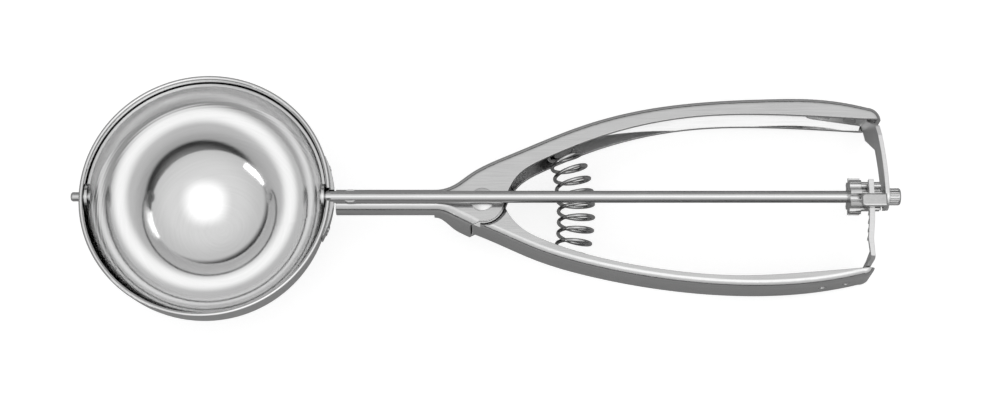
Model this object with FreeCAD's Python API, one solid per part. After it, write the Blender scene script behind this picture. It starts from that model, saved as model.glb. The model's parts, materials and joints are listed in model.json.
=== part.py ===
import FreeCAD, Part
import math
import os

# Squeeze-handle ice scoop.
#
# Every piece is drawn in the tool frame: X runs along the drive rod from the bowl's centre to the
# handles, Y runs across the handles, and Z points out of the bowl's mouth. The last step tips the
# tool so that the bowl and both handle tips stand on the ground plane.

# Bowl
BOWL_RADIUS = 35.0            # inside
BOWL_WALL = 0.9
LIP_BASE = 1.5                # height of the lip's underside above the rod's axis
LIP_TOP = 2.85
LIP_RADIUS = 36.3             # outside
NOTCH_HALF_WIDTH = 1.95       # open notch in the collar for the rod

# Drive rod, pin and scraper
ROD_RADIUS = 1.75
RUNNING = 0.05                # radial clearance of everything that turns
TENON_RADIUS = 1.3            # rod's end in the scraper's rear ear
TENON_HEAD_RADIUS = 1.9
ROD_SHOULDER_X = 34.85
STOP_X = 40.4
STOP_RADIUS = 2.1
PIN_RADIUS = 1.35
PIN_TIP_X = -38.9
PIN_HEAD_RADIUS = 2.1
BLADE_OUTER = 34.7
BLADE_THICKNESS = 0.8
BLADE_END_WIDTH = 4.5
BLADE_MID_WIDTH = 10.0
EAR_RADIUS = 3.8

# Saddle between bowl and stem
SADDLE_INNER = 36.0
SADDLE_OUTER = 37.3           # where the rod passes; thinner towards its ends
SADDLE_BACK_RADIUS = 27.0
SADDLE_HALF_WIDTH = 12.0
SADDLE_TOP = 1.3
SADDLE_BOTTOM = -12.5

# Handles
SHEET = 1.2                   # handle sheet
FRONT_Z = -2.8                # front face of both handles
BACK_Z = -16.0                # back face of both handles
STEM_HALF_WIDTH = 3.5
STEM_START_X = 37.45
STEM_END_X = 66.0
STEM_BACK_Z = -9.6
FLARE_END_X = 73.6            # where the stem has widened to the handles' full depth
CORNER = 2.0                  # outside bend radius
STEM_CORNER = 2.9
PIVOT_X = 80.0
CHEEK_RADIUS = 6.3            # fixed handle's lobe round the pivot
NOSE_RADIUS = 5.4             # lever's nose between the cheeks
STEP_RADIUS = 6.7             # where the lever's sheet steps in under the lobe
STEP_DEPTH = 1.5              # sheet plus side clearance
STEP_RUN = 1.3
TIP_BACK_X = 193.0            # where both back faces end
RIVET_RADIUS = 2.0
RIVET_HEAD_RADIUS = 3.4
RIVET_HEAD_HEIGHT = 0.62
FRONT_WASHER_RADIUS = 3.5
BACK_WASHER_RADIUS = 4.5
WASHER_THICKNESS = 0.3

# Outlines of the handles' outer edges (web) and of their flanges' inner edges
FIXED_OUTER = [(66, 3.5), (76.4, 8.35), (87.9, 14.2), (110.8, 23.7), (131.9, 28.9), (165.9, 31.5),
               (193.6, 28.8)]
FIXED_TIP = [(196.4, 27.4), (197.4, 24.9)]
FIXED_INNER = [(192.6, 24.9), (165.5, 26.3), (140.2, 25.4), (118, 20.6), (98.4, 12.7),
               (90.3, 7.4), (87.6, 2.9), (86.1, -1.57)]
FOLD_PLACES = 24              # places along the web at which the back fold is drawn
FOLD_FIRST = 8
FOLD_RUN_IN = 6               # places over which it grows to its full size
STEM_FLARE = [(66, -3.5), (71, -5.1), (76.2, -7.7)]
LEVER_OUTER = [(77.0, -7.03), (85.3, -10.6), (95.6, -15.2), (110.3, -19.8), (131.6, -24.0),
               (153.9, -26.0), (176.3, -25.1), (190.0, -22.6)]
LEVER_TIP = [(192.6, -21.6), (193.4, -20.2)]
LEVER_INNER = [(190.0, -20.4), (174.8, -21.7), (152.8, -22.7), (130.8, -20.7), (110.3, -16.4),
               (98.9, -12.5), (91.3, -8.4), (88.2, -5.0), (86.6, -1.8)]

# Toothed strip and pinion
MODULE = 0.8
PINION_TEETH = 9
PRESSURE_ANGLE = math.radians(20)
PITCH_RADIUS = MODULE * PINION_TEETH / 2
PINION_OUTER = PITCH_RADIUS + 0.7
PINION_ROOT = PITCH_RADIUS - 0.85
PINION_TOOTH = 1.1            # tooth thickness at the pitch circle
RACK_TOOTH = 1.0
RACK_ADDENDUM = 0.45
RACK_ROOT_Z = PINION_OUTER + 0.25
RACK_TOP_Z = 6.0
RACK_RADIUS = 111.8           # from the pivot, middle of the strip
RACK_THICKNESS = 1.5
RACK_BEND_DEGREES = -7.2      # where the strip stops following the circle
RACK_FOOT = (191.35, -20.6)   # where it joins its leg in the lever
RACK_DEEP_Z = -2.5            # lower edge of the strip below its teeth
PINION_END_X = 195.0
FLANGE_START_X = 185.9        # toothed flange that keeps the strip from walking off the pinion
FLANGE_END_X = 189.2
FLANGE_OUTER = 5.4
FLANGE_ROOT = 4.2
FLANGE_NOTCH = 1.3

# Support arm, strap over the toothed strip and rod end
ARM_RADIUS = 116.7            # from the pivot, middle of the strip
ARM_THICKNESS = 1.2
ARM_HALF_DEPTH = 4.0
GUIDE_START_X = 188.6
GUIDE_FRONT_Z = 7.3
GUIDE_SHEET = 1.0
GUIDE_LOW_Y = -4.9
GUIDE_HIGH_Y = -1.0
GUIDE_TAB = 0.9
GUIDE_TAB_Z = 2.2
CAP_START_X = 197.6
CAP_END_X = 200.9
CAP_RADIUS = 2.5

# Spring
SPRING_ENDS = [(103.4, 18.3), (105.6, -16.3)]
SPRING_BOW = (107.4, 1.0)
SPRING_Z = -9.4
SPRING_COIL_RADIUS = 4.8      # to the middle of the wire
SPRING_WIRE_RADIUS = 0.55
SPRING_TURNS = 9.5
SEAT_RADIUS = 3.2
SEAT_HEIGHT = 3.0

VECTOR = FreeCAD.Vector
X_AXIS = VECTOR(1, 0, 0)
Y_AXIS = VECTOR(0, 1, 0)
Z_AXIS = VECTOR(0, 0, 1)
ORIGIN = VECTOR(0, 0, 0)
PIVOT = VECTOR(PIVOT_X, 0, 0)


# ---------------------------------------------------------------- drawing helpers

def flat(point, z=0.0):
    return VECTOR(point[0], point[1], z)


def polyline(points):
    vectors = [flat(p) for p in points]
    return [Part.LineSegment(a, b).toShape() for a, b in zip(vectors, vectors[1:])]


def spline(points, start=None, end=None):
    curve = Part.BSplineCurve()
    vectors = [flat(p) for p in points]
    if start is None:
        curve.interpolate(vectors)
    else:
        curve.interpolate(vectors, InitialTangent=flat(start), FinalTangent=flat(end))
    return curve


def arc(start, middle, end):
    return Part.Arc(flat(start), flat(middle), flat(end)).toShape()


def double_bend(start, end, radius):
    """From one level down to another: an arc, a straight slope and an arc."""
    run = end[0] - start[0]
    drop = start[1] - end[1]
    straight = math.sqrt(run ** 2 + drop ** 2 - 4 * radius * drop)
    slope = math.atan2(drop - 2 * radius, run) + math.atan2(2 * radius, straight)
    upper = (start[0], start[1] - radius)
    lower = (end[0], end[1] + radius)
    turn = math.degrees(slope)
    first = [on_circle(radius, 90 - part_way * turn, upper) for part_way in (0, 0.5, 1)]
    second = [on_circle(radius, 270 - part_way * turn, lower) for part_way in (1, 0.5, 0)]
    return [arc(*first), arc(*second)] + polyline([first[-1], second[0]])


def on_circle(radius, degrees, centre=(PIVOT_X, 0.0)):
    angle = math.radians(degrees)
    return (centre[0] + radius * math.cos(angle), centre[1] + radius * math.sin(angle))


def offset_points(curve, distance, count):
    """Points beside a curve, distance to the left of its direction."""
    first = curve.FirstParameter
    last = curve.LastParameter
    points = []
    for i in range(count):
        u = first + (last - first) * i / (count - 1)
        tangent = curve.tangent(u)[0]
        side = Z_AXIS.cross(tangent)
        place = curve.value(u) + side * distance
        points.append((place.x, place.y))
    return points


def prism(edges, low, high):
    """Solid between two heights over an outline in the XY plane."""
    wire = Part.Wire(Part.__sortEdges__(edges))
    face = Part.Face(wire)
    face.translate(Z_AXIS * low)
    return face.extrude(Z_AXIS * (high - low))


def side_prism(edges, low, high):
    """Solid between two values of Y over an outline drawn as (x, z)."""
    solid = prism(edges, -high, -low)
    solid.rotate(ORIGIN, X_AXIS, 90)
    return solid


def end_prism(edges, low, high):
    """Solid between two values of X over an outline drawn as (y, z)."""
    solid = prism(edges, low, high)
    solid.rotate(ORIGIN, Z_AXIS, 90)
    solid.rotate(ORIGIN, Y_AXIS, 90)
    return solid


def rod_along_x(radius, start, end):
    return Part.makeCylinder(radius, end - start, VECTOR(start, 0, 0), X_AXIS)


def post(radius, low, high, centre=PIVOT):
    return Part.makeCylinder(radius, high - low, centre + Z_AXIS * low, Z_AXIS)


def ring_about_pivot(inner, outer, low, high, first, last):
    """Part of a ring round the pivot, between two angles in degrees."""
    outline = [arc(on_circle(outer, first), on_circle(outer, (first + last) / 2), on_circle(outer, last)),
               arc(on_circle(inner, first), on_circle(inner, (first + last) / 2), on_circle(inner, last))]
    outline += polyline([on_circle(inner, first), on_circle(outer, first)])
    outline += polyline([on_circle(inner, last), on_circle(outer, last)])
    return prism(outline, low, high)


def arm_section(profile, radius, thickness):
    """Strip bent round the pivot, cut to a side outline drawn as (y, z)."""
    half = thickness / 2
    strip = ring_about_pivot(radius - half, radius + half, -40, 20, -20, 20)
    return strip.common(end_prism(profile, 150, 220))


def fillet_where(solid, radius, wanted):
    """Round the edges for which wanted(edge) holds."""
    edges = [edge for edge in solid.Edges if wanted(edge)]
    return solid.makeFillet(radius, edges)


def runs_along(edge, path):
    """True where an edge lies above or below a path drawn in the XY plane."""
    span = edge.LastParameter - edge.FirstParameter
    for part_way in (0.1, 0.5, 0.9):
        place = edge.valueAt(edge.FirstParameter + span * part_way)
        place.z = 0
        if Part.Wire(path).distToShape(Part.Vertex(place))[0] > 0.05:
            return False
    return edge.BoundBox.XLength > 0.01


def lies_at(edge, z):
    box = edge.BoundBox
    return abs(box.ZMin - z) < 0.01 and abs(box.ZMax - z) < 0.01


# ---------------------------------------------------------------- bowl and saddle

def make_bowl():
    outside = BOWL_RADIUS + BOWL_WALL
    bead = (LIP_RADIUS - BOWL_RADIUS) / 2
    root = math.sqrt(0.5)
    edges = [arc((0, -BOWL_RADIUS), (BOWL_RADIUS * root, -BOWL_RADIUS * root), (BOWL_RADIUS, 0)),
             arc((BOWL_RADIUS, LIP_TOP - bead), (BOWL_RADIUS + bead, LIP_TOP), (LIP_RADIUS, LIP_TOP - bead)),
             arc((outside, 0), (outside * root, -outside * root), (0, -outside))]
    edges += polyline([(BOWL_RADIUS, 0), (BOWL_RADIUS, LIP_TOP - bead)])
    edges += polyline([(LIP_RADIUS, LIP_TOP - bead), (LIP_RADIUS, LIP_BASE + 0.3),
                       (outside, LIP_BASE), (outside, 0)])
    edges += polyline([(0, -outside), (0, -BOWL_RADIUS)])
    face = Part.Face(Part.Wire(Part.__sortEdges__(edges)))
    face.rotate(ORIGIN, X_AXIS, 90)
    bowl = face.revolve(ORIGIN, Z_AXIS, 360)
    bowl = bowl.cut(rod_notch(NOTCH_HALF_WIDTH, 33, 38))
    return bowl.cut(rod_along_x(PIN_RADIUS + RUNNING, -37, -33))


def rod_notch(half_width, start, end):
    """Slot that is round at the bottom and open upwards."""
    slot = Part.makeBox(end - start, 2 * half_width, 10, VECTOR(start, -half_width, 0))
    return slot.fuse(rod_along_x(half_width, start, end))


def saddle_back():
    """Round solid whose surface is the saddle's outer face."""
    return Part.makeSphere(SADDLE_BACK_RADIUS, VECTOR(SADDLE_OUTER - SADDLE_BACK_RADIUS, 0, 0))


def make_saddle():
    inside = Part.makeSphere(SADDLE_INNER).fuse(Part.makeCylinder(SADDLE_INNER, SADDLE_TOP + 1))
    block = Part.makeBox(20, 2 * SADDLE_HALF_WIDTH, SADDLE_TOP - SADDLE_BOTTOM,
                         VECTOR(25, -SADDLE_HALF_WIDTH, SADDLE_BOTTOM))
    block = fillet_where(block, 8.0, lambda e: e.BoundBox.ZMax < -5 and e.BoundBox.XLength > 10)
    saddle = saddle_back().cut(inside).common(block)
    return saddle.cut(rod_notch(ROD_RADIUS + RUNNING, 33, 40))


def make_saddle_welds():
    """Spot welds: low buttons on the saddle's face."""
    centre = VECTOR(SADDLE_OUTER - SADDLE_BACK_RADIUS, 0, 0)
    welds = []
    for side in (-1, 1):
        for tip in (4.5, 15.0):
            button = Part.makeCylinder(0.9, 0.25, VECTOR(SADDLE_OUTER, 0, 0), X_AXIS)
            button = button.cut(Part.makeSphere(SADDLE_BACK_RADIUS + 0.02, centre))
            button.rotate(centre, Y_AXIS, tip)
            button.rotate(centre, Z_AXIS, side * 20.0)
            welds.append(button)
    return Part.makeCompound(welds)


# ---------------------------------------------------------------- scraper, pin and rod

def make_blade():
    """Strip that follows the bowl from ear to ear, at rest just under the rim's plane."""
    shell = Part.makeSphere(BLADE_OUTER).cut(Part.makeSphere(BLADE_OUTER - BLADE_THICKNESS))
    reach = BLADE_OUTER + 1
    strip = end_prism(polyline([(0, 0), (reach, 0), (reach, -BLADE_MID_WIDTH),
                                (0, -BLADE_END_WIDTH), (0, 0)]), -40, 40)
    ears = rod_along_x(EAR_RADIUS, -40, -30).fuse(rod_along_x(EAR_RADIUS, 30, 40))
    blade = shell.common(strip.fuse(ears))
    blade = blade.cut(rod_along_x(PIN_RADIUS + 0.02, -40, -30))
    return blade.cut(rod_along_x(TENON_RADIUS + 0.02, 30, 40))


def make_front_pin():
    shank = rod_along_x(PIN_RADIUS, PIN_TIP_X, -33.6)
    shank = fillet_where(shank, 0.7, lambda e: e.BoundBox.XMax < PIN_TIP_X + 0.1)
    head = rod_along_x(PIN_HEAD_RADIUS, -33.6, -33.0)
    head = fillet_where(head, 0.35, lambda e: e.BoundBox.XMin > -33.05)
    return shank.fuse(head)


def make_drive_rod():
    rod = rod_along_x(ROD_RADIUS, ROD_SHOULDER_X, CAP_START_X)
    tenon = rod_along_x(TENON_RADIUS, 33.6, ROD_SHOULDER_X)
    head = rod_along_x(TENON_HEAD_RADIUS, 33.0, 33.6)
    head = fillet_where(head, 0.35, lambda e: e.BoundBox.XMax < 33.05)
    return rod.fuse([tenon, head, make_rod_stop()])


def make_rod_stop():
    """Flats swaged out of the rod just behind the saddle."""
    rise = Part.makeCone(ROD_RADIUS, STOP_RADIUS, 0.8, VECTOR(STOP_X, 0, 0), X_AXIS)
    ring = rod_along_x(STOP_RADIUS, STOP_X + 0.8, STOP_X + 2.2)
    fall = Part.makeCone(STOP_RADIUS, ROD_RADIUS, 0.8, VECTOR(STOP_X + 2.2, 0, 0), X_AXIS)
    band = Part.makeBox(6, 6, 2.0, VECTOR(STOP_X - 1, -3, -1))
    return rise.fuse([ring, fall]).common(band)


def involute(radius, base):
    """Angle that the involute has turned through at a radius."""
    if radius <= base:
        return 0.0
    pressure = math.acos(base / radius)
    return math.tan(pressure) - pressure


def pinion_tooth_half_angle(radius):
    base = PITCH_RADIUS * math.cos(PRESSURE_ANGLE)
    at_pitch = PINION_TOOTH / (2 * PITCH_RADIUS)
    return at_pitch + involute(PITCH_RADIUS, base) - involute(radius, base)


def make_pinion():
    """Small gear with its first tooth pointing straight out of the bowl's mouth side."""
    steps = 5
    radii = [PINION_ROOT + (PINION_OUTER - PINION_ROOT) * i / steps for i in range(steps + 1)]
    points = []
    for tooth in range(PINION_TEETH):
        middle = 90 + 360 * tooth / PINION_TEETH
        rising = [on_circle(r, middle - math.degrees(pinion_tooth_half_angle(r)), (0, 0)) for r in radii]
        falling = [on_circle(r, middle + math.degrees(pinion_tooth_half_angle(r)), (0, 0)) for r in radii]
        points += rising + falling[::-1]
    gear = end_prism(polyline(points + points[:1]), FLANGE_END_X, PINION_END_X)
    return gear.fuse(make_pinion_flange()).cut(rod_along_x(ROD_RADIUS + 0.02, 180, 200))


def make_pinion_flange():
    """Disc beside the teeth with one round-bottomed notch at each gap between them."""
    disc = rod_along_x(FLANGE_OUTER, FLANGE_START_X, FLANGE_END_X)
    notches = []
    for tooth in range(PINION_TEETH):
        y, z = on_circle(FLANGE_ROOT + FLANGE_NOTCH, 90 + 360 * (tooth + 0.5) / PINION_TEETH, (0, 0))
        notch = rod_along_x(FLANGE_NOTCH, FLANGE_START_X - 1, FLANGE_END_X + 1)
        notch.translate(VECTOR(0, y, z))
        notches.append(notch)
    return disc.cut(Part.makeCompound(notches))


def make_rod_cap():
    """Grooved sleeve on the rod's end behind the support arm."""
    cap = rod_along_x(CAP_RADIUS, CAP_START_X + 0.02, CAP_END_X)
    cap = fillet_where(cap, 0.6, lambda e: e.BoundBox.XMin > CAP_END_X - 0.1)
    for step in range(18):
        angle = math.radians(20 * step)
        middle = VECTOR(CAP_START_X - 1, CAP_RADIUS * math.cos(angle), CAP_RADIUS * math.sin(angle))
        cap = cap.cut(Part.makeCylinder(0.16, 3.6, middle, X_AXIS))
    return cap


# ---------------------------------------------------------------- fixed handle

def fixed_web_curve():
    return spline(FIXED_OUTER, (1, 0), (1, -0.27))


def flare_curve():
    return spline(STEM_FLARE, (1, 0), (1, -0.5))


def fixed_outline():
    edges = polyline([(STEM_START_X, -STEM_HALF_WIDTH), (STEM_START_X, STEM_HALF_WIDTH), FIXED_OUTER[0]])
    edges.append(fixed_web_curve().toShape())
    edges.append(arc(FIXED_OUTER[-1], FIXED_TIP[0], FIXED_TIP[1]))
    edges += polyline([FIXED_TIP[1], FIXED_INNER[0]])
    edges.append(spline(FIXED_INNER[:-1] + [on_circle(CHEEK_RADIUS, -14.5)]).toShape())
    lobe = [on_circle(CHEEK_RADIUS, angle) for angle in (-14.5, -55, -98)]
    edges.append(arc(lobe[0], lobe[1], lobe[2]))
    edges += polyline([on_circle(CHEEK_RADIUS, -98), STEM_FLARE[-1]])
    edges.append(flare_curve().toShape())
    edges += polyline([STEM_FLARE[0], (STEM_START_X, -STEM_HALF_WIDTH)])
    return edges


def fixed_side_profile(inset):
    """Outline seen along Y: shallow at the stem, full depth from the pivot on."""
    front = FRONT_Z - inset
    back = BACK_Z + inset
    stem_back = STEM_BACK_Z + inset
    round_tip = 4.4
    edges = double_bend((STEM_END_X, stem_back), (FLARE_END_X, back), 2.9)
    edges += polyline([(FLARE_END_X, back), (TIP_BACK_X, back)])
    edges.append(arc((TIP_BACK_X, back), (TIP_BACK_X + 0.707 * round_tip, back + 0.293 * round_tip),
                     (TIP_BACK_X + round_tip, back + round_tip)))
    edges += polyline([(TIP_BACK_X + round_tip, back + round_tip), (TIP_BACK_X + round_tip, front),
                       (30, front), (30, stem_back), (STEM_END_X, stem_back)])
    return edges


def fixed_cavity():
    """Space inside the folded sheet: closed along the stem, open towards the lever beyond it."""
    inner_web = offset_points(fixed_web_curve(), -SHEET, 12)
    inner_flare = offset_points(flare_curve(), SHEET, 4)
    top = STEM_HALF_WIDTH - SHEET
    edges = polyline([inner_flare[0], (30, -top), (30, top), inner_web[0]])
    edges.append(spline(inner_web).toShape())
    edges += polyline([inner_web[-1], (196.2, 25.6), (196.2, 10), (86, -30), (76.2, -10), inner_flare[-1]])
    edges.append(spline(inner_flare).toShape())
    cavity = prism(edges, BACK_Z + SHEET, FRONT_Z - SHEET)
    return cavity.common(side_prism(fixed_side_profile(SHEET), -50, 50))


def make_fixed_handle():
    """Stem, pivot cheeks and handle: one folded sheet, rounded along its folds."""
    upper_edge = polyline([(STEM_START_X, STEM_HALF_WIDTH), FIXED_OUTER[0]])
    upper_edge.append(fixed_web_curve().toShape())
    upper_edge.append(arc(FIXED_OUTER[-1], FIXED_TIP[0], FIXED_TIP[1]))
    lower_edge = polyline([(STEM_START_X, -STEM_HALF_WIDTH), STEM_FLARE[0]])
    lower_edge.append(flare_curve().toShape())
    body = prism(fixed_outline(), BACK_Z, FRONT_Z)
    body = fillet_where(body, CORNER, lambda e: runs_along(e, upper_edge))
    body = fillet_where(body, STEM_CORNER, lambda e: runs_along(e, lower_edge) and lies_at(e, FRONT_Z))
    body = body.common(side_prism(fixed_side_profile(0.0), -50, 50))
    handle = body.cut(stem_back_corners()).cut(fixed_cavity())
    handle = handle.fuse(fixed_back_fold())
    handle = handle.cut(post(RIVET_RADIUS + 0.02, -30, 0))
    return handle.cut(arm_rivet_tools())


def fixed_back_fold():
    """Slope inside the handle between its back face and its web, where the sheet is drawn round."""
    low = BACK_Z + SHEET - 0.2
    curve = fixed_web_curve()
    web = offset_points(curve, -SHEET + 0.2, FOLD_PLACES)
    far = offset_points(curve, -SHEET - 4.2, FOLD_PLACES)
    deep = []
    raised = []
    inward = []
    for place in range(FOLD_FIRST, len(web)):
        growth = min(1.0, (place - FOLD_FIRST + 0.4) / FOLD_RUN_IN)
        deep.append(flat(web[place], low))
        raised.append(flat(web[place], low + 1.6 * growth))
        inward.append(deep[-1] + (flat(far[place], low) - deep[-1]) * growth)
    rails = []
    for row in (deep, raised, inward):
        rail = Part.BSplineCurve()
        rail.interpolate(row)
        rails.append(rail.toShape())
    faces = [Part.makeRuledSurface(rails[i], rails[(i + 1) % 3]) for i in range(3)]
    for end in (0, -1):
        faces.append(Part.Face(Part.makePolygon([deep[end], raised[end], inward[end], deep[end]])))
    fold = Part.Solid(Part.makeShell(faces))
    return fold.common(prism(fixed_outline(), BACK_Z, FRONT_Z))


def stem_back_corners():
    """Space outside the two rounded folds along the back of the stem."""
    start = 30
    reach = 3
    corners = []
    for side in (-1, 1):
        y = side * (STEM_HALF_WIDTH - STEM_CORNER)
        z = STEM_BACK_Z + STEM_CORNER
        low_corner = VECTOR(start, min(y, y + side * reach), z - reach)
        block = Part.makeBox(STEM_END_X - start, reach, reach, low_corner)
        fold = rod_along_x(STEM_CORNER, start, STEM_END_X)
        fold.translate(VECTOR(0, y, z))
        corners.append(block.cut(fold))
    return Part.makeCompound(corners)


# ---------------------------------------------------------------- lever

def lever_outline():
    heel = (75.6, -2.4)
    edges = [spline(LEVER_OUTER).toShape(),
             arc(LEVER_OUTER[-1], LEVER_TIP[0], LEVER_TIP[1]),
             spline(LEVER_INNER).toShape(),
             arc(on_circle(NOSE_RADIUS, -18), on_circle(NOSE_RADIUS, 80), on_circle(NOSE_RADIUS, 200))]
    edges += polyline([LEVER_TIP[1], LEVER_INNER[0]])
    edges += polyline([LEVER_INNER[-1], on_circle(NOSE_RADIUS, -18)])
    edges += polyline([on_circle(NOSE_RADIUS, 200), heel, LEVER_OUTER[0]])
    return edges


def step_tool(face_z, inward, radius):
    """Space taken out beside one face so that the lever's sheet steps in under the lobe."""
    bottom = face_z + inward * STEP_DEPTH
    cone = Part.makeCone(radius, radius + STEP_RUN, STEP_DEPTH, VECTOR(PIVOT_X, 0, bottom), Z_AXIS * -inward)
    heel = Part.makeBox(14, 16, STEP_DEPTH, VECTOR(65.5, -12, min(bottom, face_z)))
    return cone.fuse(heel)


def lever_cavity():
    inner_web = offset_points(spline(LEVER_OUTER), SHEET, 14)
    edges = [spline(inner_web).toShape()]
    edges += polyline([inner_web[-1], (192.2, -20.9), (192.2, 20), (60, 20), (60, -2.0), (74.0, -5.6),
                       inner_web[0]])
    wide = prism(edges, BACK_Z + SHEET, FRONT_Z - SHEET)
    narrow_back = BACK_Z + STEP_DEPTH + SHEET
    narrow_front = FRONT_Z - STEP_DEPTH - SHEET
    wide = wide.cut(post(STEP_RADIUS + SHEET, narrow_front, 0))
    wide = wide.cut(post(STEP_RADIUS + SHEET, -20, narrow_back))
    beside = Part.makeBox(20, 30, 20, VECTOR(59.5 + SHEET, -15, narrow_front))
    behind = Part.makeBox(20, 30, 20, VECTOR(59.5 + SHEET, -15, narrow_back - 20))
    return wide.cut(beside).cut(behind)


def make_lever_handle():
    folds = [spline(LEVER_OUTER).toShape(), arc(LEVER_OUTER[-1], LEVER_TIP[0], LEVER_TIP[1])]
    body = prism(lever_outline(), BACK_Z, FRONT_Z)
    body = fillet_where(body, CORNER, lambda e: runs_along(e, folds))
    body = body.cut(step_tool(FRONT_Z, -1, STEP_RADIUS))
    body = body.cut(step_tool(BACK_Z, 1, STEP_RADIUS))
    handle = body.cut(lever_cavity())
    handle = handle.cut(post(RIVET_RADIUS + RUNNING, -30, 0))
    return handle.cut(rack_rivet_tools())


# ---------------------------------------------------------------- pivot rivet and washers

def make_pivot_rivet():
    front = FRONT_Z + WASHER_THICKNESS
    back = BACK_Z - WASHER_THICKNESS
    rivet = post(RIVET_RADIUS, back, front)
    rim = 0.2
    rise = RIVET_HEAD_HEIGHT - rim
    dome_radius = (RIVET_HEAD_RADIUS ** 2 + rise ** 2) / (2 * rise)
    dome = Part.makeSphere(dome_radius, PIVOT + Z_AXIS * (front + RIVET_HEAD_HEIGHT - dome_radius))
    head = post(RIVET_HEAD_RADIUS, front, front + 1).common(dome)
    shop_head = post(RIVET_HEAD_RADIUS, back - 1.2, back)
    shop_head = fillet_where(shop_head, 1.0, lambda e: lies_at(e, back - 1.2))
    return rivet.fuse([head, shop_head])


def make_washer(radius, low):
    washer = post(radius, low, low + WASHER_THICKNESS)
    return washer.cut(post(RIVET_RADIUS + 0.02, -30, 0))


# ---------------------------------------------------------------- toothed strip

def rack_leg_placement():
    """Middle and direction of the strip's leg along the lever's web."""
    return VECTOR(181.9, -21.96, 0), VECTOR(1, 0.155, 0).normalize()


def arm_leg_placement():
    return VECTOR(185.3, 27.85, 0), VECTOR(1, -0.15, 0).normalize()


def leg_plate(placement, length, thickness, low, high):
    """Flat plate standing along a handle's web."""
    middle, along = placement
    plate = Part.makeBox(length, thickness, high - low, VECTOR(-length / 2, -thickness / 2, low))
    plate = fillet_where(plate, 2.0, lambda e: abs(e.BoundBox.XMax + length / 2) < 0.01
                         and e.BoundBox.YLength > thickness / 2 and e.BoundBox.ZLength < 0.01)
    plate.rotate(ORIGIN, Z_AXIS, math.degrees(math.atan2(along.y, along.x)))
    plate.translate(middle)
    return plate


def rivets_along(placement, spacing, radius, outward, length):
    """Two rivet shanks through the leg and the web beside it."""
    middle, along = placement
    across = Z_AXIS.cross(along) * outward
    shanks = []
    for side in (-1, 1):
        start = middle + along * (side * spacing / 2) - across * 0.6
        start.z = -9.4
        shanks.append(Part.makeCylinder(radius, length, start, across))
    return shanks


def rack_rivet_tools():
    return Part.makeCompound(rivets_along(rack_leg_placement(), 7.0, 1.22, -1, 6))


def arm_rivet_tools():
    return Part.makeCompound(rivets_along(arm_leg_placement(), 7.8, 1.22, 1, 6))


def make_rivets(placement, spacing, outward, grip):
    """Rivets with a low round head inside the handle and a flush end outside."""
    across = Z_AXIS.cross(placement[1]) * outward
    rivets = []
    for shank in rivets_along(placement, spacing, 1.2, outward, 0.6 + grip):
        start = shank.CenterOfMass - across * (0.6 + grip) / 2
        head = Part.makeCylinder(1.9, 0.5, start - across * 0.5, across)
        rivets.append(shank.fuse(head))
    return Part.makeCompound(rivets)


def rack_foot():
    """Straight lower part of the strip, bent out towards the lever's tip."""
    half = RACK_THICKNESS / 2
    foot_half = RACK_THICKNESS * 0.4
    bend = [on_circle(RACK_RADIUS + side * half, RACK_BEND_DEGREES) for side in (1, -1)]
    outline = bend + [(RACK_FOOT[0] - foot_half, RACK_FOOT[1]), (RACK_FOOT[0] - foot_half, RACK_FOOT[1] - 1),
                      (RACK_FOOT[0] + foot_half, RACK_FOOT[1] - 1), (RACK_FOOT[0] + foot_half, RACK_FOOT[1])]
    return prism(polyline(outline + outline[:1]), -40, 20)


def rack_profile():
    """Side outline (y, z): toothed run in front of the pinion, deep run down to the lever."""
    return polyline([(3.5, RACK_TOP_Z), (3.5, RACK_ROOT_Z), (-17.6, RACK_ROOT_Z), (-18.6, RACK_DEEP_Z),
                     (-19.2, -13.6), (-20.9, -13.6), (-20.9, -5.2), (-20.1, -4.6), (-19.9, RACK_TOP_Z - 1.2),
                     (-19.2, RACK_TOP_Z), (3.5, RACK_TOP_Z)])


def rack_tooth():
    """One tooth on the strip's underside, at the pivot's height."""
    spread = math.tan(PRESSURE_ANGLE)
    pitch_z = PITCH_RADIUS
    tip_half = RACK_TOOTH / 2 - RACK_ADDENDUM * spread
    root_half = RACK_TOOTH / 2 + (RACK_ROOT_Z - pitch_z) * spread
    over = 0.2
    outline = polyline([(-tip_half, pitch_z - RACK_ADDENDUM), (tip_half, pitch_z - RACK_ADDENDUM),
                        (root_half, RACK_ROOT_Z), (root_half, RACK_ROOT_Z + over),
                        (-root_half, RACK_ROOT_Z + over), (-root_half, RACK_ROOT_Z),
                        (-tip_half, pitch_z - RACK_ADDENDUM)])
    half = RACK_THICKNESS / 2
    return end_prism(outline, PIVOT_X + RACK_RADIUS - half, PIVOT_X + RACK_RADIUS + half)


def make_rack():
    half = RACK_THICKNESS / 2
    strip = ring_about_pivot(RACK_RADIUS - half, RACK_RADIUS + half, -40, 20, RACK_BEND_DEGREES, 20)
    strip = strip.fuse(rack_foot()).common(end_prism(rack_profile(), 150, 220))
    pitch_angle = math.degrees(math.pi * MODULE / RACK_RADIUS)
    teeth = []
    for step in range(-6, 1):
        tooth = rack_tooth()
        tooth.rotate(PIVOT, Z_AXIS, (step + 0.5) * pitch_angle)
        teeth.append(tooth)
    ring = ring_about_pivot(RACK_RADIUS - half, RACK_RADIUS + half, 0, 8, -12, 12)
    teeth = [tooth.common(ring) for tooth in teeth]
    leg = leg_plate(rack_leg_placement(), 18.0, RACK_THICKNESS * 0.8, -13.6, -5.2)
    return strip.fuse(teeth + [leg]).cut(rack_rivet_tools()).removeSplitter()


# ---------------------------------------------------------------- support arm and guide

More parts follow.
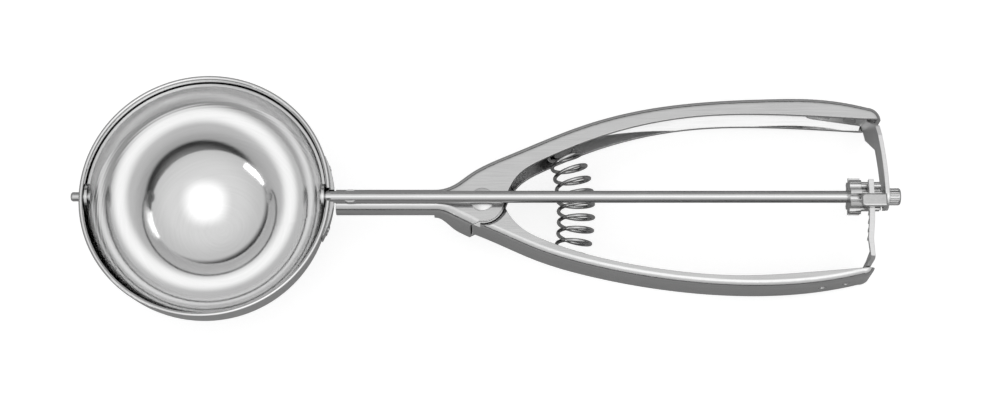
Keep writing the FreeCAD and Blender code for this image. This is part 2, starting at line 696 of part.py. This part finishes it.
def arm_profile():
    """Side outline (y, z): foot in the handle, narrower run to a round end about the rod."""
    depth = ARM_HALF_DEPTH
    edges = polyline([(26.8, -5.0), (24.6, -4.6), (20.5, depth - 0.6), (17.5, depth), (0, depth)])
    edges.append(arc((0, depth), (-depth, 0), (0, -depth)))
    edges += polyline([(0, -depth), (15.5, -depth), (21.5, -13.4), (26.8, -13.4), (26.8, -5.0)])
    return edges


def make_support_arm():
    strip = arm_section(arm_profile(), ARM_RADIUS, ARM_THICKNESS)
    leg = leg_plate(arm_leg_placement(), 16.8, ARM_THICKNESS, -13.4, -5.0)
    arm = strip.fuse(leg).cut(arm_rivet_tools())
    return arm.cut(rod_along_x(ROD_RADIUS + RUNNING, 190, 205)).removeSplitter()


def make_rod_guide():
    """Strap from the support arm over the toothed strip, which it keeps against the pinion."""
    inner_face = PIVOT_X + ARM_RADIUS - ARM_THICKNESS / 2 - 0.12
    width = GUIDE_HIGH_Y - GUIDE_LOW_Y
    strap = Part.makeBox(inner_face - GUIDE_START_X, width, GUIDE_SHEET,
                         VECTOR(GUIDE_START_X, GUIDE_LOW_Y, GUIDE_FRONT_Z - GUIDE_SHEET))
    strap = fillet_where(strap, 1.2, lambda e: e.BoundBox.ZLength > 0.5 and e.BoundBox.XMax < GUIDE_START_X + 0.1)
    strap = fillet_where(strap, 0.6, lambda e: lies_at(e, GUIDE_FRONT_Z))
    tab = Part.makeBox(GUIDE_TAB, width, GUIDE_FRONT_Z - 0.7 - GUIDE_TAB_Z,
                       VECTOR(inner_face - GUIDE_TAB, GUIDE_LOW_Y, GUIDE_TAB_Z))
    return strap.fuse(tab).removeSplitter()


# ---------------------------------------------------------------- spring and seats

def make_spring():
    """Coil spring that bows away from the pivot between its two seats."""
    bow = Part.Arc(flat(SPRING_ENDS[0]), flat(SPRING_BOW), flat(SPRING_ENDS[1]))
    per_turn = 12
    count = int(SPRING_TURNS * per_turn)
    points = []
    for i in range(count + 1):
        u = bow.FirstParameter + (bow.LastParameter - bow.FirstParameter) * i / count
        tangent = bow.tangent(u)[0]
        side = Z_AXIS.cross(tangent)
        turn = 2 * math.pi * i / per_turn
        around = side * math.cos(turn) + Z_AXIS * math.sin(turn)
        points.append(bow.value(u) + Z_AXIS * SPRING_Z + around * SPRING_COIL_RADIUS)
    path = Part.BSplineCurve()
    path.interpolate(points)
    start = path.tangent(path.FirstParameter)[0]
    section = Part.Wire(Part.makeCircle(SPRING_WIRE_RADIUS, path.value(path.FirstParameter), start))
    return Part.Wire(path.toShape()).makePipeShell([section], True, True)


def make_spring_seat(end, outward):
    """Round stud on the handle's web that keeps the spring's end in place."""
    bow = Part.Arc(flat(SPRING_ENDS[0]), flat(SPRING_BOW), flat(SPRING_ENDS[1]))
    u = bow.FirstParameter if end == 0 else bow.LastParameter
    axis = bow.tangent(u)[0] * outward
    base = flat(SPRING_ENDS[end], SPRING_Z) + axis * (SPRING_WIRE_RADIUS + 0.1)
    stud = Part.makeCylinder(SEAT_RADIUS, SEAT_HEIGHT, base - axis * SEAT_HEIGHT, axis)
    rim = 0.5
    return fillet_where(stud, rim, lambda e: (e.CenterOfMass - (base - axis * SEAT_HEIGHT)).Length < 0.1)


# ---------------------------------------------------------------- the tool as it stands

def rest_angle():
    """Tip angle at which the bowl and the handles' back faces touch the ground together."""
    reach = math.hypot(TIP_BACK_X, BACK_Z)
    return math.asin((BOWL_RADIUS + BOWL_WALL) / reach) - math.atan2(-BACK_Z, TIP_BACK_X)


def make_pieces():
    return {
        "bowl": make_bowl(),
        "stem_saddle": make_saddle(),
        "saddle_welds": make_saddle_welds(),
        "fixed_handle": make_fixed_handle(),
        "support_arm": make_support_arm(),
        "support_arm_rivets": make_rivets(arm_leg_placement(), 7.8, 1, 2.0),
        "rod_guide": make_rod_guide(),
        "pivot_rivet": make_pivot_rivet(),
        "pivot_washer_front": make_washer(FRONT_WASHER_RADIUS, FRONT_Z),
        "pivot_washer_back": make_washer(BACK_WASHER_RADIUS, BACK_Z - WASHER_THICKNESS),
        "fixed_spring_seat": make_spring_seat(0, -1),
        "lever_handle": make_lever_handle(),
        "toothed_strip": make_rack(),
        "toothed_strip_rivets": make_rivets(rack_leg_placement(), 7.0, -1, 2.0),
        "lever_spring_seat": make_spring_seat(1, 1),
        "drive_rod": make_drive_rod(),
        "drive_pinion": make_pinion(),
        "rod_end_cap": make_rod_cap(),
        "scraper_blade": make_blade(),
        "front_pin": make_front_pin(),
        "return_spring": make_spring(),
    }


def stand_up(pieces):
    """Tip every piece to the rest angle, with the origin below the middle of the whole tool."""
    for piece in pieces.values():
        piece.rotate(ORIGIN, Y_AXIS, math.degrees(rest_angle()))
    box = Part.makeCompound(list(pieces.values())).optimalBoundingBox()
    shift = VECTOR(-(box.XMin + box.XMax) / 2, 0, BOWL_RADIUS + BOWL_WALL)
    for piece in pieces.values():
        piece.translate(shift)
    return shift


os.makedirs("parts", exist_ok=True)
pieces = make_pieces()
shift = stand_up(pieces)
for name, piece in pieces.items():
    piece.exportStep("parts/" + name + ".step")
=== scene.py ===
"""Looks for a squeeze-handle ice scoop: materials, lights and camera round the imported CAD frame.

Sizes in mm are in the tool's own frame: X along the rod from the bowl to the handles,
Y across (the fixed handle is on the +Y side), Z out of the bowl's mouth, origin at the bowl's centre.
"""
import json
import math

import bmesh
import bpy
from mathutils import Matrix, Vector


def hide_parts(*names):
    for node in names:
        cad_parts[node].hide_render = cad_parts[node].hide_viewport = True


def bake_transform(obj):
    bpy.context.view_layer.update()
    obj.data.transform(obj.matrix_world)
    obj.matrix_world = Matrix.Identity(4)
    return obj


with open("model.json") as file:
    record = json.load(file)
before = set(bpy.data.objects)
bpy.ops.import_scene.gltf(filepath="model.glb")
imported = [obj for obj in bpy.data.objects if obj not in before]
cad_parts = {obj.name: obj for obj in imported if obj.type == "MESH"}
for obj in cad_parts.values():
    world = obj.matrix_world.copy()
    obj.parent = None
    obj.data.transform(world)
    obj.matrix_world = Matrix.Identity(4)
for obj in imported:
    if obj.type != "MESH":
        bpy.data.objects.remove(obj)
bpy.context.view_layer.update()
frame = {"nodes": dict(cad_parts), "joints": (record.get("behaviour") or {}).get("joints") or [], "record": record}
nodes = frame["nodes"]
joints = {joint["name"]: joint for joint in frame["joints"]}
scene = bpy.context.scene
scene.view_settings.view_transform = "Standard"

ALONG = Vector(joints["scraper_turn"]["axis"]).normalized()
ACROSS = Vector((0, 1, 0))
FRONT = ALONG.cross(ACROSS)
VIEW_TILT = math.radians(16.5)          # the camera leans this far from FRONT towards the lever
VIEW_BACK = FRONT * math.cos(VIEW_TILT) - ACROSS * math.sin(VIEW_TILT)
VIEW_UP = ACROSS * math.cos(VIEW_TILT) + FRONT * math.sin(VIEW_TILT)

# Middle of the studio's ceiling, as seen from the tool
LIGHT_LEAN_ALONG = math.tan(math.radians(8))
LIGHT_LEAN_ACROSS = math.tan(math.radians(11.3))
LIGHT_AXIS = (ALONG * LIGHT_LEAN_ALONG - ACROSS * LIGHT_LEAN_ACROSS + FRONT).normalized()
LIGHT_ALONG = (ALONG - LIGHT_AXIS * ALONG.dot(LIGHT_AXIS)).normalized()
LIGHT_ACROSS = LIGHT_AXIS.cross(LIGHT_ALONG)

TURNED = Matrix((ALONG, ACROSS, FRONT)).transposed().to_4x4()
TOOL = Matrix.Translation(joints["scraper_turn"]["pos_m"]) @ TURNED


def at(x, y, z):
    """A point of the row frame in metres, from the tool's own frame in mm."""
    return TOOL @ (Vector((x, y, z)) * 0.001)


# ---------------------------------------------------------------- node helpers

class Nodes:
    """Short calls for building one node tree."""

    def __init__(self, tree):
        self.tree = tree

    def add(self, kind, inputs=None, **settings):
        node = self.tree.nodes.new(kind)
        for name, value in settings.items():
            setattr(node, name, value)
        for name, value in (inputs or {}).items():
            if isinstance(value, bpy.types.NodeSocket):
                self.tree.links.new(value, node.inputs[name])
            else:
                node.inputs[name].default_value = value
        return node

    def math(self, operation, first, second=0.0):
        return self.add("ShaderNodeMath", {0: first, 1: second}, operation=operation).outputs[0]

    def range(self, value, low, high, to_low, to_high):
        made = self.add("ShaderNodeMapRange", {"Value": value, "From Min": low, "From Max": high,
                                               "To Min": to_low, "To Max": to_high})
        return made.outputs["Result"]

    def noise(self, vector, scale, detail=2.0, roughness=0.5):
        made = self.add("ShaderNodeTexNoise", {"Vector": vector, "Scale": scale, "Detail": detail,
                                               "Roughness": roughness})
        return made.outputs["Fac"]

    def stretched(self, vector, factors):
        return self.add("ShaderNodeVectorMath", {0: vector, 1: factors}, operation="MULTIPLY").outputs[0]

    def tool_point(self):
        """Object coordinates in mm in the tool's own frame, whatever pose the object is in."""
        point = self.add("ShaderNodeTexCoord").outputs["Object"]
        moved = self.add("ShaderNodeVectorMath", {0: point, 1: -TOOL.translation}, operation="ADD").outputs[0]
        parts = []
        for axis in (ALONG, ACROSS, FRONT):
            parts.append(self.add("ShaderNodeVectorMath", {0: moved, 1: axis * 1000},
                                  operation="DOT_PRODUCT").outputs["Value"])
        return self.add("ShaderNodeCombineXYZ", {0: parts[0], 1: parts[1], 2: parts[2]}).outputs[0]


def steel(name, tint, rough, grain, grain_scale, grain_depth, smudge=0.05, edge=0.25, dark=0.12, relief_and_painted_shade=None):
    """Stainless steel. grain(n, point) gives the stretched coordinates that the brushing follows,
    and the last argument, if given, a height in mm for lines turned into the surface and a painted shade from 0 to
    1 along them."""
    material = bpy.data.materials.new(name)
    material.use_nodes = True
    tree = material.node_tree
    tree.nodes.clear()
    n = Nodes(tree)
    point = n.tool_point()
    lines = n.noise(grain(n, point), grain_scale, 3.0, 0.65)
    coarse = n.noise(point, 0.045, 3.0, 0.6)
    fine = n.noise(point, 0.9, 4.0, 0.6)
    # roughness: handling smudges over the brushed lines
    blotch = n.range(coarse, 0.35, 0.65, -smudge, smudge)
    streak = n.range(lines, 0.3, 0.7, -smudge * 0.6, smudge * 0.6)
    roughness = n.math("ADD", n.math("ADD", blotch, streak), rough)
    speck = n.range(fine, 0.62, 0.75, 0.0, smudge)
    roughness = n.math("ADD", roughness, speck)
    # colour: slightly darker in the grain, lighter on sharp edges
    shade = n.range(lines, 0.25, 0.75, 1.0 - dark, 1.0)
    shade = n.math("MULTIPLY", shade, n.range(coarse, 0.3, 0.7, 1.0 - dark * 0.5, 1.0))
    bevel = n.add("ShaderNodeBevel", {"Radius": 0.00022}, samples=4).outputs[0]
    normal = n.add("ShaderNodeNewGeometry").outputs["Normal"]
    bend = n.add("ShaderNodeVectorMath", {0: bevel, 1: normal}, operation="DOT_PRODUCT").outputs["Value"]
    edge_lightening = n.range(bend, 0.995, 0.9, 0.0, edge)
    height = n.math("MULTIPLY", lines, grain_depth)
    # painted shade: the colour is darkened along the lines turned into the surface
    if relief_and_painted_shade:
        raised, line_painted_shade = relief_and_painted_shade(n, point)
        height = n.math("ADD", height, raised)
        shade = n.math("MULTIPLY", shade, line_painted_shade)
    colour = n.add("ShaderNodeCombineColor", {0: n.math("MULTIPLY", shade, tint[0]),
                                              1: n.math("MULTIPLY", shade, tint[1]),
                                              2: n.math("MULTIPLY", shade, tint[2])}).outputs[0]
    colour = n.add("ShaderNodeMix", {"Factor": edge_lightening, "A": colour, "B": (0.86, 0.86, 0.86, 1)},
                   data_type="RGBA")
    colour = colour.outputs["Result"]
    bump = n.add("ShaderNodeBump", {"Height": height, "Strength": 1.0, "Distance": 0.001,
                                    "Normal": bevel}).outputs[0]
    shader = n.add("ShaderNodeBsdfPrincipled", {"Base Color": colour, "Metallic": 1.0,
                                                "Roughness": roughness, "Normal": bump})
    n.add("ShaderNodeOutputMaterial", {"Surface": shader.outputs[0]})
    return material


def grain_along(n, point):
    return n.stretched(point, (0.03, 1.0, 1.0))


def grain_round_bowl(n, point):
    """Rings round the bowl's axis: the angle from the axis, as a length along the wall."""
    split = n.add("ShaderNodeSeparateXYZ", {0: point}).outputs
    across = n.math("SQRT", n.math("ADD", n.math("MULTIPLY", split[0], split[0]),
                                   n.math("MULTIPLY", split[1], split[1])))
    angle = n.math("ARCTAN2", across, n.math("MULTIPLY", split[2], -1.0))
    length = n.math("MULTIPLY", angle, 35.0)
    turn = n.math("MULTIPLY", n.math("ARCTAN2", split[1], split[0]), 0.35)
    return n.add("ShaderNodeCombineXYZ", {0: length, 1: turn, 2: 0.0}).outputs[0]


def grain_even(n, point):
    return point


def spun_rings_and_painted_shade(n, point):
    """Fine rings left by spinning, in the upper part of the bowl's wall: a real bump, with a painted shade that
    darkens the colour along them.
    """
    split = n.add("ShaderNodeSeparateXYZ", {0: point}).outputs
    depth = split[2]
    near_rim = n.range(depth, -16.0, -12.0, 0.0, 1.0)
    rings = n.math("MULTIPLY", n.math("SINE", n.math("MULTIPLY", depth, 5.5)), near_rim)
    uneven = n.noise(n.stretched(point, (0.0, 0.0, 0.9)), 1.0, 3.0, 0.6)
    rings = n.math("MULTIPLY", rings, uneven)
    height = n.math("MULTIPLY", rings, 0.0045)
    # painted shade: the colour is darker where the rings' bump is highest or deepest
    line_painted_shade = n.math("SUBTRACT", 1.0, n.math("MULTIPLY", n.math("ABSOLUTE", rings), 0.25))
    return height, line_painted_shade


materials = {
    "polished_bowl": steel("polished_bowl", (0.78, 0.78, 0.78), 0.07, grain_round_bowl, 1.6, 0.002, 0.015,
                           0.2, 0.06, spun_rings_and_painted_shade),
    "polished_handle": steel("polished_handle", (0.66, 0.66, 0.66), 0.16, grain_along, 3.0, 0.005, 0.03, 0.3),
    "plain_steel": steel("plain_steel", (0.64, 0.64, 0.64), 0.20, grain_even, 1.2, 0.003, 0.04, 0.2),
    "satin_strip": steel("satin_strip", (0.84, 0.84, 0.84), 0.34, grain_along, 2.5, 0.003, 0.04, 0.2),
    "drawn_rod": steel("drawn_rod", (0.64, 0.64, 0.64), 0.13, grain_along, 4.0, 0.005, 0.03, 0.2),
    "brushed_blade": steel("brushed_blade", (0.70, 0.70, 0.70), 0.18, grain_along, 2.5, 0.008, 0.05, 0.3),
    "spring_wire": steel("spring_wire", (0.60, 0.60, 0.60), 0.14, grain_even, 3.0, 0.004, 0.04, 0.0),
}

for part in frame["record"]["subparts"]:
    node = nodes[part["node"]]
    node.data.materials.clear()
    node.data.materials.append(materials[part["material_slot"]])


# ---------------------------------------------------------------- return spring

SPRING_TURNS = 9.5
SPRING_Z = -9.4
COIL_RADIUS = 4.8             # to the middle of the wire, at both ends
COIL_SWELL = 0.35             # how much wider the middle turns are
WIRE_RADIUS = 0.55
STEPS_PER_TURN = 40
WIRE_SIDES = 16


def coil_line():
    """Points along the middle of the spring's wire, in the tool's frame."""
    first, middle, last = Vector((103.4, 18.3)), Vector((107.4, 1.0)), Vector((105.6, -16.3))
    chord = last - first
    normal = Vector((-chord.y, chord.x)).normalized()
    height = (middle - (first + last) / 2).dot(normal)
    count = int(SPRING_TURNS * STEPS_PER_TURN)
    line = []
    for i in range(count + 1):
        share = i / count
        spot = first + chord * share + normal * height * 4 * share * (1 - share)
        tangent = (chord + normal * height * 4 * (1 - 2 * share)).normalized()
        side = Vector((-tangent.y, tangent.x, 0))
        turn = 2 * math.pi * i / STEPS_PER_TURN
        coil = COIL_RADIUS + COIL_SWELL * math.sin(math.pi * share) ** 2
        around = side * math.cos(turn) + Vector((0, 0, 1)) * math.sin(turn)
        line.append(Vector((spot.x, spot.y, SPRING_Z)) + around * coil)
    return line


def make_spring():
    """Coil spring from seat to seat, as a piece of its own. The lever's motion bends the real wire; this mesh
    keeps one bowed shape.
    """
    line = coil_line()
    last_step = len(line) - 1
    builder = bmesh.new()
    rings = []
    across = None
    for i, spot in enumerate(line):
        tangent = (line[min(i + 1, last_step)] - line[max(i - 1, 0)]).normalized()
        if across is None:
            across = tangent.orthogonal()
        across = (across - tangent * across.dot(tangent)).normalized()
        other = tangent.cross(across)
        ring = []
        for j in range(WIRE_SIDES):
            turn = 2 * math.pi * j / WIRE_SIDES
            outward = across * math.cos(turn) + other * math.sin(turn)
            ring.append(builder.verts.new(at(*(spot + outward * WIRE_RADIUS))))
        rings.append(ring)
    for low_ring, high_ring in zip(rings, rings[1:]):
        for j in range(WIRE_SIDES):
            k = (j + 1) % WIRE_SIDES
            builder.faces.new((low_ring[j], low_ring[k], high_ring[k], high_ring[j]))
    builder.faces.new(rings[0][::-1])
    builder.faces.new(rings[-1])
    bmesh.ops.recalc_face_normals(builder, faces=builder.faces)
    mesh = bpy.data.meshes.new("spring_coil")
    builder.to_mesh(mesh)
    builder.free()
    mesh.polygons.foreach_set("use_smooth", [len(face.vertices) == 4 for face in mesh.polygons])
    mesh.materials.append(materials["spring_wire"])
    spring = bpy.data.objects.new("spring_coil", mesh)
    scene.collection.objects.link(spring)
    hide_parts("return_spring")
    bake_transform(spring)


# ---------------------------------------------------------------- stage

def make_floor():
    """Plain pale floor. What the steel mirrors of it is a shade darker than what the camera sees."""
    mesh = bpy.data.meshes.new("floor")
    builder = bmesh.new()
    bmesh.ops.create_grid(builder, x_segments=1, y_segments=1, size=6.0)
    builder.to_mesh(mesh)
    builder.free()
    floor = bpy.data.objects.new("floor", mesh)
    floor.location.z = -0.0002
    scene.collection.objects.link(floor)
    material = bpy.data.materials.new("floor")
    material.use_nodes = True
    material.node_tree.nodes.clear()
    n = Nodes(material.node_tree)
    paper = n.add("ShaderNodeBsdfDiffuse", {"Color": (0.45, 0.45, 0.45, 1)}).outputs[0]
    glow = n.add("ShaderNodeEmission", {"Color": (1, 1, 1, 1), "Strength": 0.76}).outputs[0]
    seen = n.add("ShaderNodeAddShader", {0: paper, 1: glow}).outputs[0]
    mirrored = n.add("ShaderNodeBsdfDiffuse", {"Color": (0.42, 0.42, 0.42, 1)}).outputs[0]
    direct = n.add("ShaderNodeLightPath").outputs["Is Camera Ray"]
    shader = n.add("ShaderNodeMixShader", {0: direct, 1: mirrored, 2: seen}).outputs[0]
    n.add("ShaderNodeOutputMaterial", {"Surface": shader})
    mesh.materials.append(material)


def softbox(name, place, target, width, height, radiance):
    """Area light of a given brightness, aimed at a point."""
    light = bpy.data.lights.new(name, "AREA")
    light.shape = "RECTANGLE"
    light.size = width
    light.size_y = height
    light.energy = radiance * width * height * math.pi
    lamp = bpy.data.objects.new(name, light)
    lamp.location = place
    aim = Vector(target) - Vector(place)
    lamp.rotation_mode = "QUATERNION"
    lamp.rotation_quaternion = aim.to_track_quat("-Z", "Y")
    scene.collection.objects.link(lamp)
    return lamp


def make_world():
    """A broad soft ceiling, brighter in the middle, a dark ring round it and paler walls below that."""
    world = bpy.data.worlds.new("studio")
    world.use_nodes = True
    world.node_tree.nodes.clear()
    n = Nodes(world.node_tree)
    direction = n.add("ShaderNodeTexCoord").outputs["Generated"]

    def share(axis):
        made = n.add("ShaderNodeVectorMath", {0: direction, 1: axis}, operation="DOT_PRODUCT")
        return made.outputs["Value"]

    def soft(value, first, last, to_low, to_high):
        made = n.add("ShaderNodeMapRange", {"Value": value, "From Min": first, "From Max": last,
                                            "To Min": to_low, "To Max": to_high},
                     interpolation_type="SMOOTHSTEP")
        return made.outputs["Result"]

    height = share(LIGHT_AXIS)
    edges = [math.cos(math.radians(angle)) for angle in (64, 58, 28, 8)]
    level = soft(height, edges[0], edges[1], 0.05, 0.70)
    level = n.math("ADD", level, soft(height, edges[1], edges[2], 0.0, 0.18))
    level = n.math("ADD", level, soft(height, edges[2], edges[3], 0.0, 0.25))
    walls = [math.cos(math.radians(angle)) for angle in (66, 86)]
    level = n.math("ADD", level, soft(height, walls[0], walls[1], 0.0, 0.42))
    safe = n.math("MAXIMUM", height, 0.05)
    inside = []
    for axis in (LIGHT_ALONG, LIGHT_ACROSS):
        slope = n.math("ABSOLUTE", n.math("DIVIDE", share(axis), safe))
        inside.append(soft(slope, 0.5, 0.06, 0.0, 1.0))
    level = n.math("ADD", level, n.math("MULTIPLY", n.math("MULTIPLY", inside[0], inside[1]), 0.55))
    light = n.add("ShaderNodeBackground", {"Color": (1, 1, 1, 1), "Strength": level}).outputs[0]
    wall = n.add("ShaderNodeBackground", {"Color": (0.93, 0.93, 0.93, 1), "Strength": 1.0}).outputs[0]
    direct = n.add("ShaderNodeLightPath").outputs["Is Camera Ray"]
    mixed = n.add("ShaderNodeMixShader", {0: direct, 1: light, 2: wall}).outputs[0]
    n.add("ShaderNodeOutputWorld", {"Surface": mixed})
    scene.world = world


def make_camera():
    """The photograph's view: square to the rod, tipped towards the lever's side."""
    data = bpy.data.cameras.new("camera")
    data.sensor_width = 36
    data.lens = 75.4
    camera = bpy.data.objects.new("camera", data)
    turned = Matrix((ALONG, VIEW_UP, VIEW_BACK)).transposed().to_4x4()
    camera.matrix_world = Matrix.Translation(at(85.2, -3.53, 0) + VIEW_BACK * 0.605) @ turned
    scene.collection.objects.link(camera)
    scene.camera = camera


def make_strip_light():
    """Narrow softbox whose reflection is the bright mark near the edge of the bowl's bottom."""
    from_view = math.radians(54)
    side = (ALONG * -0.87 - ACROSS * 0.49).normalized()
    away = VIEW_BACK * math.cos(from_view) + side * math.sin(from_view)
    bowl_centre = at(0, 0, 0)
    softbox("strip", bowl_centre + away * 1.2, bowl_centre, 0.55, 0.11, 3.5)


make_spring()
make_floor()
make_world()
make_camera()
make_strip_light()
